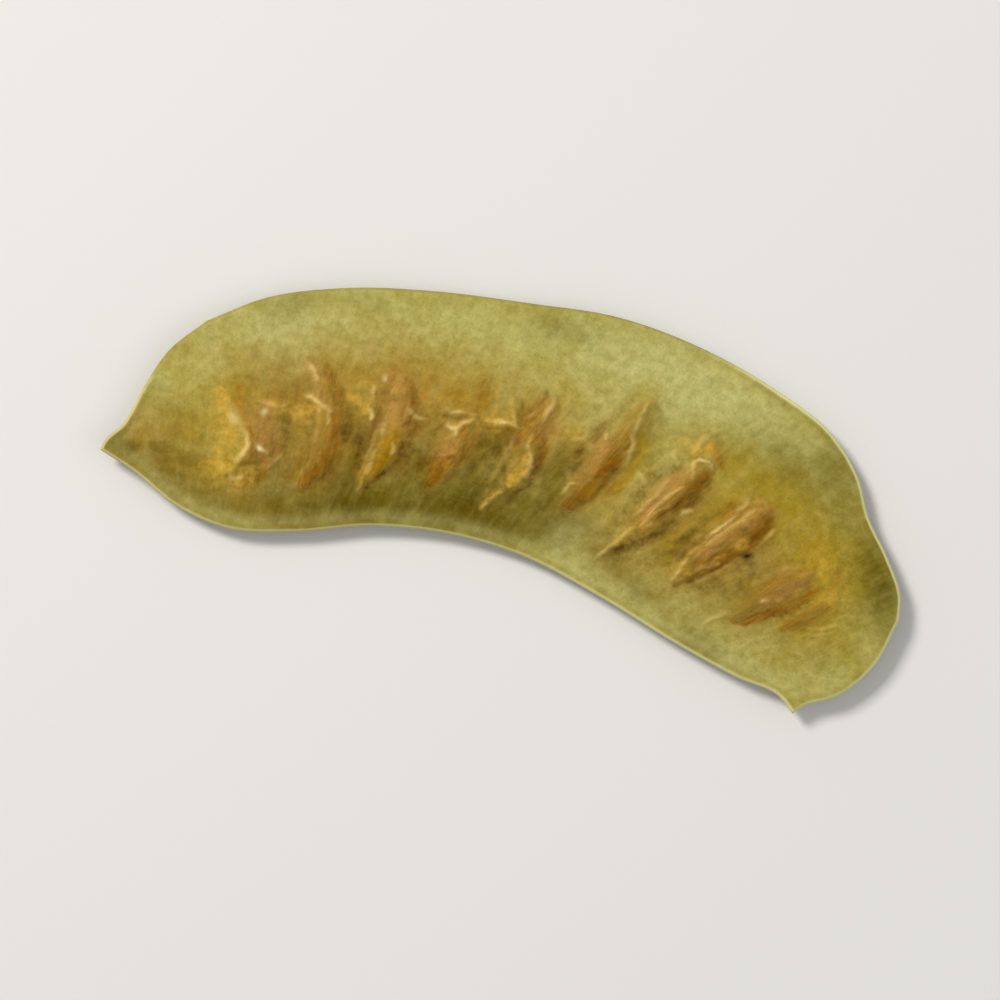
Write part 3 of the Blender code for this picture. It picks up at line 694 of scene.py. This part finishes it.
def markSeeds(places, ridges, skin, broken):
    # relief and tones that follow the seeds' ridges
    relief = np.zeros(len(places))
    tones = {name: np.zeros(len(places)) for name in toneNames}
    fibrePlaces = alongFibres(places + skin["streakStart"], streaking["stretch"])
    streaks = softNoise(fibrePlaces, skin["streakSize"], layers=2)
    for ridge in ridges:
        taper, aside = placeOnRidge(places, ridge)
        lip, brown = ridge["lip"] * taper, ridge["brown"] * taper
        sharp = np.exp(-streaking["foldSharpness"] * np.abs(aside - streaking["foldAt"]))
        relief += ridge["height"] * taper * ((1 - skin["fold"]) * bell(aside) + skin["fold"] * sharp)
        relief += lip * mark(aside, *skin["lip"]) + brown * mark(aside, *skin["hollow"])
        body = 1 - rising(np.abs(aside), *streaking["reliefEdge"])
        relief += skin["streakHeight"] * taper * streaks * body
        cover = 1 - rising(np.abs(aside) - streaking["fray"] * streaks, *streaking["coverEdge"])
        # the streaks darken the seeds' own fibres; the shade mark is painted shade, the line a painted
        # highlight along the lit side, the glow an amber painted highlight
        shade = skin["streakShade"] * np.clip(streaks, 0, 1) * bell(aside / streaking["width"])
        lay(tones, "brown", skin["cover"] * brown * cover)
        lay(tones, "deep", brown * (shade + mark(aside, *skin["shade"])))
        lay(tones, "cream", lip * broken * mark(aside, *skin["line"]))
        lay(tones, "amber", taper * broken * mark(aside, *skin["glow"]))
    return relief, tones


def topSkin(flatPlaces):
    places = crumpled(flatPlaces)
    swell = mounds(places)
    broken = brokenUp(places, skins["top"])
    relief, tones = markSeeds(places, seedRidges, skins["top"], broken)
    for fold in folds:
        taper, aside = placeOnRidge(places, fold)
        relief += fold["height"] * taper * bell(aside)
    # Each crease: a pale line on its crest, partly a painted highlight, and a painted shadow on its side
    # away from the light.
    unbroken = creaseLook["unbroken"] + (1 - creaseLook["unbroken"]) * broken
    shaded = places - np.array(creaseLook["shadeShift"])
    for halfWidth, height, paleness, points in creases:
        line = alongLine(places, points, creaseLook["reliefWidth"] * halfWidth, creaseLook["sharpness"])
        relief += creaseLook["height"] * height * line
        stroke = alongLine(places, points, halfWidth)
        shade = alongLine(shaded, points, creaseLook["shadeWidth"] * halfWidth)
        lay(tones, "cream", creaseLook["pale"] * paleness * unbroken * stroke)
        lay(tones, "deep", creaseLook["shade"] * paleness * shade * (1 - stroke))
    for seed, drawn in bands.items():
        moved = places - np.array(nudges.get(seed, (0, 0)))
        for name, halfWidth, strength, points in drawn:
            lay(tones, name, strength * alongBand(moved, points, halfWidth))
    layTints(tones, places, tints)
    folded = crinkles(flatPlaces, crinkle["size"], 0)
    fine = crinkles(flatPlaces, crinkle["fineSize"], crinkle["fineStart"])
    calm = swell * (1 - crinkle["calm"] * rising(places[:, 0], *crinkle["calmFrom"]))
    relief += crinkle["height"] * calm * (folded + crinkle["fineShare"] * fine - crinkle["sunk"])
    relief += crinkle["waveHeight"] * softNoise(flatPlaces, crinkle["waveSize"], layers=2)
    net = np.clip(folded + crinkle["fineTone"] * fine, 0, 1)
    tones["folded"] = net * (crinkle["flatTone"] + (1 - crinkle["flatTone"]) * calm)
    tones["swell"] = swell
    return relief, tones


def underSkin(flatPlaces, inside):
    skin = skins["under"]
    places = crumpled(flatPlaces + skin["crumpleStart"]) - skin["crumpleStart"]
    swell = mounds(places)
    relief, tones = markSeeds(places, bellyRidges, skin, brokenUp(places, skin))
    layTints(tones, places, ("olive", "tan", "gold", "pale"))
    folded = crinkles(flatPlaces, crinkle["size"], skin["crinkleStart"])
    wave = softNoise(places + skin["waveStart"], skin["waveSize"], layers=2)
    wrinkled = skin["crinkleHeight"] * swell * (folded - skin["sunk"])
    relief += inside * (wrinkled + skin["waveHeight"] * wave - skin["inset"])
    tones["folded"] = folded * (skin["flatTone"] + (1 - skin["flatTone"]) * swell)
    tones["swell"] = swell
    return relief, tones


print("form ready")


# The pod's mesh

mesh = {
    "alongCells": 480, "acrossCells": 156,  # even numbers: the underside takes every second point
    "edgeSteps": [0.0, 0.0025, 0.006, 0.0105, 0.016], "seedBand": (0.14, 0.72), "seedDensity": 1.7,
    "bandBlur": 0.1, "samples": 2000, "rimRings": 2, "rimBulge": 0.05,
    # the paler line inside the concave edge
    "marginInset": 0.75, "marginWidth": 0.45, "marginSide": (0.2, 0.4),
}


def stepsWithFineEdges(cells, edgeSteps, band=(0, 1), density=1.0):
    # shares from 0 to 1, close together at both ends and in the band
    start = 2 * edgeSteps[-1] - edgeSteps[-2]
    dense = np.linspace(start, 1 - start, mesh["samples"])
    inBand = ease((dense - band[0]) / mesh["bandBlur"] + 0.5)
    inBand *= ease((band[1] - dense) / mesh["bandBlur"] + 0.5)
    weight = np.cumsum(1 + (density - 1) * inBand)
    weight = (weight - weight[0]) / (weight[-1] - weight[0])
    middle = np.interp(np.linspace(0, 1, cells - 2 * len(edgeSteps) + 1), weight, dense)
    return np.concatenate([edgeSteps, middle, 1 - np.array(edgeSteps[::-1])])


def skinHeights(places, edgeGap, cordShare):
    inside = ease(edgeGap / form["reliefInset"])
    thickness = halfThickness(places, edgeGap, cordShare)
    middle = bendOfPod(places, edgeGap)
    belly = np.zeros(len(places))
    for ridge in bellyRidges:
        taper, aside = placeOnRidge(places, ridge)
        belly += ridge["height"] * taper * bell(aside)
    ground = (middle - thickness - inside * belly).min() + form["bellyFlatDepth"]
    topRelief, topTones = topSkin(places)
    underRelief, underTones = underSkin(places, inside)
    top = middle + thickness + inside * topRelief - ground
    under = np.maximum(middle - thickness - inside * underRelief - ground, 0)
    return top, topTones, under, underTones


def podShift():  # from the outline's own frame to the solid's, along x and y
    low, high = (np.array(corner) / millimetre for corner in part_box("pod"))
    edge = np.vstack(list(sides.values()))
    return ((low + high)[:2] - edge.min(axis=0) - edge.max(axis=0)) / 2


def gridFaces(columns, rows):
    index = np.arange(columns * rows).reshape(columns, rows)
    quads = np.stack([index[:-1, :-1], index[1:, :-1], index[1:, 1:], index[:-1, 1:]], axis=-1)
    loop = np.concatenate([index[:-1, 0], index[-1, :-1], index[:0:-1, -1], index[0, :0:-1]])
    return index, quads.reshape(-1, 4), loop


def makePodMesh():
    along = stepsWithFineEdges(mesh["alongCells"], np.array(mesh["edgeSteps"]) / 3)
    across = stepsWithFineEdges(
        mesh["acrossCells"], mesh["edgeSteps"], mesh["seedBand"], mesh["seedDensity"]
    )
    columns, rows = len(along), len(across)
    index, quads, loop = gridFaces(columns, rows)
    alongPod, acrossPod = np.repeat(along, rows), np.tile(across, columns)
    places = spreadOverOutline(alongPod, acrossPod)
    edgeGap = distanceToEdge(places)
    cordShare = cordStrength(places, acrossPod)
    top, topTones, under, underTones = skinHeights(places, edgeGap, cordShare)
    # rings of points that round the rim between the two skins
    ahead = places[np.roll(loop, -1)] - places[np.roll(loop, 1)]
    outward = np.column_stack([ahead[:, 1], -ahead[:, 0]]) / np.linalg.norm(ahead, axis=1)[:, None]
    rings = []
    for ring in range(mesh["rimRings"]):
        share = (ring + 1) / (mesh["rimRings"] + 1)
        bulge = mesh["rimBulge"] * np.sin(np.pi * share)
        height = top[loop] * (1 - share) + under[loop] * share
        rings.append(np.column_stack([places[loop] + bulge * outward, height]))
    # the underside keeps every second point each way
    kept = index[::2, ::2].ravel()
    underQuads, underLoop = gridFaces(len(along[::2]), len(across[::2]))[1:]
    parts = [np.column_stack([places, top])] + rings + [np.column_stack([places, under])[kept]]
    starts = np.cumsum([0] + [len(part) for part in parts])
    points = np.vstack(parts)
    faces = quads.tolist() + (underQuads[:, ::-1] + starts[-2]).tolist()
    levels = [loop] + [starts[ring + 1] + np.arange(len(loop)) for ring in range(mesh["rimRings"])]
    for upper, lower in zip(levels, levels[1:]):
        faces += np.column_stack([upper, lower, np.roll(lower, -1), np.roll(upper, -1)]).tolist()
    # triangles from the last ring to the underside's own edge, which has half as many points
    upper, lower = levels[-1], underLoop + starts[-2]
    between, nextUpper, nextLower = upper[1::2], np.roll(upper, -2)[::2], np.roll(lower, -1)
    strips = ((upper[::2], lower, between), (between, lower, nextLower), (between, nextLower, nextUpper))
    for corners in strips:
        faces += np.column_stack(corners).tolist()
    points[:, :2] += podShift()
    made = bpy.data.meshes.new("podSkin")
    made.from_pydata(points * millimetre, [], faces)
    margin = bell((edgeGap - mesh["marginInset"]) / mesh["marginWidth"])
    margin *= 1 - rising(acrossPod, *mesh["marginSide"])
    shared = {"edgeGap": edgeGap, "cord": cordShare, "margin": margin}
    topTones.update(shared)
    underTones.update(shared)
    for name, value in topTones.items():
        underValue = underTones[name]
        every = [value] + [value[loop]] * mesh["rimRings"] + [underValue[kept]]
        made.attributes.new(name, "FLOAT", "POINT").data.foreach_set(
            "value", np.concatenate(every).astype(np.float32)
        )
    made.shade_smooth()
    triangles = sum(len(face.vertices) - 2 for face in made.polygons)
    print("pod mesh:", len(points), "points,", triangles, "triangles")
    return made


# Materials

class Value:  # a socket that can stand in a sum
    def __init__(self, paint, socket):
        self.paint, self.socket = paint, socket

    def __add__(self, other):
        return self.paint.maths("ADD", self, other)

    def __sub__(self, other):
        return self.paint.maths("SUBTRACT", self, other)

    def __rsub__(self, other):
        return self.paint.maths("SUBTRACT", other, self)

    def __mul__(self, other):
        return self.paint.maths("MULTIPLY", self, other)

    def __truediv__(self, other):
        return self.paint.maths("DIVIDE", self, other)

    __radd__ = __add__
    __rmul__ = __mul__


class Paint:  # the nodes of one material
    def __init__(self, name):
        self.material = bpy.data.materials.new(name)
        self.material.use_nodes = True
        self.tree = self.material.node_tree
        self.shader = self.tree.nodes["Principled BSDF"]

    def add(self, kind, settings, values, output=0):
        node = self.tree.nodes.new(kind)
        for name, value in settings.items():
            setattr(node, name, value)
        for name, value in values.items():
            self.feed(node.inputs[name], value)
        return Value(self, node.outputs[output])

    def feed(self, socket, value):
        if isinstance(value, Value):
            self.tree.links.new(value.socket, socket)
        else:
            socket.default_value = value

    def maths(self, operation, first, second):
        return self.add("ShaderNodeMath", {"operation": operation}, {0: first, 1: second})

    def mix(self, factor, first, second, blend="MIX"):  # the node keeps the factor between 0 and 1
        settings = {"data_type": "RGBA", "blend_type": blend}
        return self.add("ShaderNodeMix", settings, {0: factor, 6: first, 7: second}, output=2)

    def between(self, value, low, high, softly=True):  # 0 below low, 1 above high
        kind = "SMOOTHSTEP" if softly else "LINEAR"
        return self.add("ShaderNodeMapRange", {"interpolation_type": kind}, {0: value, 1: low, 2: high})

    def attribute(self, name):
        return self.add("ShaderNodeAttribute", {"attribute_name": name}, {}, output="Fac")

    def place(self):  # the point in the outline's own frame, in millimetres
        spot = self.add("ShaderNodeTexCoord", {}, {}, output="Object")
        shift = podShift()
        return self.add(
            "ShaderNodeMapping", {},
            {"Vector": spot, "Location": (-shift[0], -shift[1], 0), "Scale": (1 / millimetre,) * 3},
        )

    def alongFibres(self, spot, stretch):
        split = self.add("ShaderNodeSeparateXYZ", {}, {0: spot}).socket.node
        x, y, z = (Value(self, socket) for socket in split.outputs)
        crossing = (x - fibres["lean"] * y) / (1 + fibres["fan"] * y)
        return self.add("ShaderNodeCombineXYZ", {}, {"X": crossing, "Y": y / stretch, "Z": z})

    def noise(self, spot, size, stretch, detail, roughness):
        return self.add("ShaderNodeTexNoise", {}, {
            "Vector": self.alongFibres(spot, stretch) if stretch else spot,
            "Scale": 1 / size, "Detail": detail, "Roughness": roughness,
        })

    def set(self, **values):
        for name, value in values.items():
            self.feed(self.shader.inputs[name.replace("_", " ")], value)


def tone(red, green, blue):  # a screen colour, 0 to 255, as the shader's own
    share = np.array([red, green, blue]) / 255
    linear = np.where(share <= 0.04045, share / 12.92, ((share + 0.055) / 1.055) ** 2.4)
    return (*linear.tolist(), 1.0)


# cream and fold are partly the creased paper's paleness and partly painted highlight; glint is painted
# highlight; olive is partly painted shade; cordLine is painted shade along the rim and in the groove inside
# the cord
# deep is partly the seeds' darkest brown and partly painted shade; rust partly their dark brown and partly
# painted shade; pink partly painted light on their lit slopes
podFinish = {
    "wall": (176, 167, 93), "wallWarm": (167, 154, 74), "pale": (187, 184, 117), "olive": (94, 80, 8),
    "tan": (158, 122, 42), "gold": (156, 128, 20), "pink": (170, 124, 60), "brown": (152, 102, 24),
    "brownDark": (118, 76, 4), "rust": (134, 87, 6), "honey": (160, 116, 8), "amber": (194, 154, 58),
    "deep": (86, 58, 4), "cream": (222, 192, 112), "fold": (196, 166, 68), "glint": (255, 240, 176),
    "speck": (28, 18, 12), "cord": (226, 220, 160), "cordLine": (112, 104, 40),
}
# rim and cordLine set painted shade along the rim and in the groove inside the cord; fold and creamBreaks
# set paleness that is partly painted highlight
podSurface = {
    "roughness": 0.66, "brownShine": 0.12, "specular": 0.03, "bumpStrength": 0.5, "bumpHeight": 0.03,
    "margin": 0.22, "fold": 0.18, "rim": 0.3, "cord": 0.85, "cordLine": 0.3, "creamBreaks": (0.55, 0.6),
    "uneven": (0.3, 0.5, 0.9),  # the pale tones' least cover, and what blotch and fibre add to it
    "warmBlotch": (0.35, 0.65), "flatFleck": 0.8,
    "darkFleck": (0.74, 0.73, 0.56), "lightFleck": (1.22, 1.23, 1.32), "fleckRange": (0.36, 0.64),
    "patchyMix": (0.6, 0.15, 0.25),  # shares of fleck, thread and grain
    # inwards from the edge: rimEdge bounds the pale cord and the painted shade along the rim, lineStart and
    # lineEnd the painted shade in the groove inside the cord
    "rimEdge": (0.10, 0.24), "lineStart": (0.22, 0.32), "lineEnd": (0.36, 0.7),
}

# Speckles of the wall: (size, stretch along the fibres or none, detail, roughness)
speckles = {
    "blotch": (1.9, None, 4, 0.55), "fleck": (0.62, None, 4, 0.6), "grain": (0.16, None, 2, 0.55),
    "thread": (0.2, 6.0, 3, 0.6), "streak": (0.18, 8.0, 3, 0.65), "fibre": (0.7, 5.0, 3, 0.55),
}
clearRanges = {"fleck": (0.36, 0.62), "streak": (0.38, 0.60)}

# How a strong tone covers: (in the speckle's dark parts, change in its light parts, the speckle)
covers = {
    "brown": (0.6, 0.45, "fleck"), "pink": (0.5, 0.5, "streak"), "rust": (1.0, -0.4, "streak"),
    "honey": (0.75, 0.35, "fleck"), "amber": (0.7, 0.35, "fleck"), "deep": (0.9, -0.4, "fleck"),
}


def podMaterial():
    paint = Paint("podSkin")
    surface = podSurface
    colours = {name: tone(*value) for name, value in podFinish.items()}
    attributes = [*toneNames, "folded", "swell", "cord", "edgeGap", "margin"]
    tones = {name: paint.attribute(name) for name in attributes}
    edgeGap, cord = tones["edgeGap"], tones["cord"]
    spot = paint.place()
    speckle = {name: paint.noise(spot, *values) for name, values in speckles.items()}
    clear = {name: paint.between(speckle[name], *ends) for name, ends in clearRanges.items()}
    warm = paint.between(speckle["blotch"], *surface["warmBlotch"])
    colour = paint.mix(warm, colours["wall"], colours["wallWarm"])
    least, blotch, fibre = surface["uneven"]
    uneven = least + blotch * speckle["blotch"] + fibre * speckle["fibre"]
    # olive is partly painted shade along the concave edge and at the ends
    for name in ("pale", "tan", "gold", "olive"):
        colour = paint.mix(tones[name] * uneven, colour, colours[name])
    colour = paint.mix(surface["margin"] * tones["margin"], colour, colours["pale"])
    # pink is partly painted light on the seeds' lit slopes, rust and deep partly painted shade on their far
    # sides and in the hollows
    strong = {**colours, "brown": paint.mix(clear["streak"], colours["brownDark"], colours["brown"])}
    for name, (least, change, pattern) in covers.items():
        colour = paint.mix(tones[name] * (least + change * clear[pattern]), colour, strong[name])
    fleck, thread, grain = surface["patchyMix"]
    rough = fleck * speckle["fleck"] + thread * speckle["thread"] + grain * speckle["grain"]
    patchy = paint.between(rough, *surface["fleckRange"], softly=False)
    shade = paint.mix(patchy, (*surface["darkFleck"], 1), (*surface["lightFleck"], 1))
    flat = surface["flatFleck"]
    shade = paint.mix(flat + (1 - flat) * tones["swell"], (1.0, 1.0, 1.0, 1.0), shade)
    colour = paint.mix(1.0, colour, shade, blend="MULTIPLY")
    # paler crinkle crests, partly the paper's own paleness and partly a painted highlight
    colour = paint.mix(surface["fold"] * tones["folded"], colour, colours["fold"])
    # cream lines, partly pale crinkles and partly painted highlight; then the glints, painted highlights
    least, change = surface["creamBreaks"]
    colour = paint.mix(tones["cream"] * (least + change * speckle["grain"]), colour, colours["cream"])
    colour = paint.mix(tones["glint"], colour, colours["glint"])
    # painted shade in the groove inside the cord
    line = paint.between(edgeGap, *surface["lineStart"]) * (1 - paint.between(edgeGap, *surface["lineEnd"]))
    colour = paint.mix(surface["cordLine"] * line * cord, colour, colours["cordLine"])
    # painted shade along the rim where the cord is faint, then the pale cord
    rim = 1 - paint.between(edgeGap, *surface["rimEdge"])
    colour = paint.mix(surface["rim"] * rim * (1 - cord), colour, colours["cordLine"])
    colour = paint.mix(surface["cord"] * rim * cord, colour, colours["cord"])
    colour = paint.mix(tones["speck"], colour, colours["speck"])
    bump = paint.add("ShaderNodeBump", {}, {
        "Strength": surface["bumpStrength"], "Distance": surface["bumpHeight"] * millimetre,
        "Height": rough,
    })
    roughness = surface["roughness"] - surface["brownShine"] * tones["brown"]
    paint.set(Base_Color=colour, Normal=bump, Roughness=roughness)
    paint.set(Specular_IOR_Level=surface["specular"])
    return paint.material


def makePod():
    pod = bpy.data.objects.new("podSkin", makePodMesh())
    bpy.context.scene.collection.objects.link(pod)
    pod.data.materials.append(podMaterial())
    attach(pod, "root")
    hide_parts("pod")
    print("pod made")


makePod()


# Table, light and camera

# Lens and sensor in millimetres, roll in degrees
view = {"width": 0.0692, "lens": 120.0, "sensor": 36.0, "roll": 16.0, "centre": (-0.0014, -0.0026)}
tableTop = {"size": 3.0, "colour": (226, 224, 219), "roughness": 0.7}
lights = {  # at: right and up in the picture, and height
    "key": {"at": (-0.31, 0.30, 0.46), "size": 0.16, "power": 3.0, "colour": (1.0, 0.98, 0.95)},
    "fill": {"at": (0.40, -0.15, 0.45), "size": 0.5, "power": 0.6, "colour": (0.97, 0.99, 1.0)},
}
surround = {"colour": (0.96, 0.97, 1.0), "strength": 0.42}


def inPicture(right, up, height):
    return Matrix.Rotation(np.radians(view["roll"]), 4, "Z") @ Vector((right, up, height))


def makeCamera():
    lens = bpy.data.cameras.new("camera")
    lens.lens, lens.sensor_width = view["lens"], view["sensor"]
    lens.clip_start = 0.01
    camera = bpy.data.objects.new("camera", lens)
    height = view["width"] * view["lens"] / view["sensor"]
    camera.location = inPicture(*view["centre"], height)
    camera.rotation_euler = (0, 0, np.radians(view["roll"]))
    bpy.context.scene.collection.objects.link(camera)
    bpy.context.scene.camera = camera


def makeLight(name, made):
    lamp = bpy.data.lights.new(name, "AREA")
    lamp.size, lamp.energy, lamp.color = made["size"], made["power"], made["colour"]
    light = bpy.data.objects.new(name, lamp)
    light.location = inPicture(*made["at"])
    light.rotation_euler = light.location.to_track_quat("Z", "Y").to_euler()
    bpy.context.scene.collection.objects.link(light)


def makeSurround():
    world = bpy.data.worlds.new("surround")
    world.use_nodes = True
    background = world.node_tree.nodes["Background"]
    background.inputs["Color"].default_value = (*surround["colour"], 1)
    background.inputs["Strength"].default_value = surround["strength"]
    bpy.context.scene.world = world


def makeTable():
    half = tableTop["size"] / 2
    board = bpy.data.meshes.new("tableTop")
    corners = [(-half, -half, 0), (half, -half, 0), (half, half, 0), (-half, half, 0)]
    board.from_pydata(corners, [], [(0, 1, 2, 3)])
    paint = Paint("tableTop")
    paint.set(Base_Color=tone(*tableTop["colour"]), Roughness=tableTop["roughness"])
    board.materials.append(paint.material)
    table = bpy.data.objects.new("tableTop", board)
    bpy.context.scene.collection.objects.link(table)


makeTable()
makeSurround()
for lightName, lightValues in lights.items():
    makeLight(lightName, lightValues)
makeCamera()
bpy.context.scene.view_settings.view_transform = "Standard"
print("table, light and camera set")
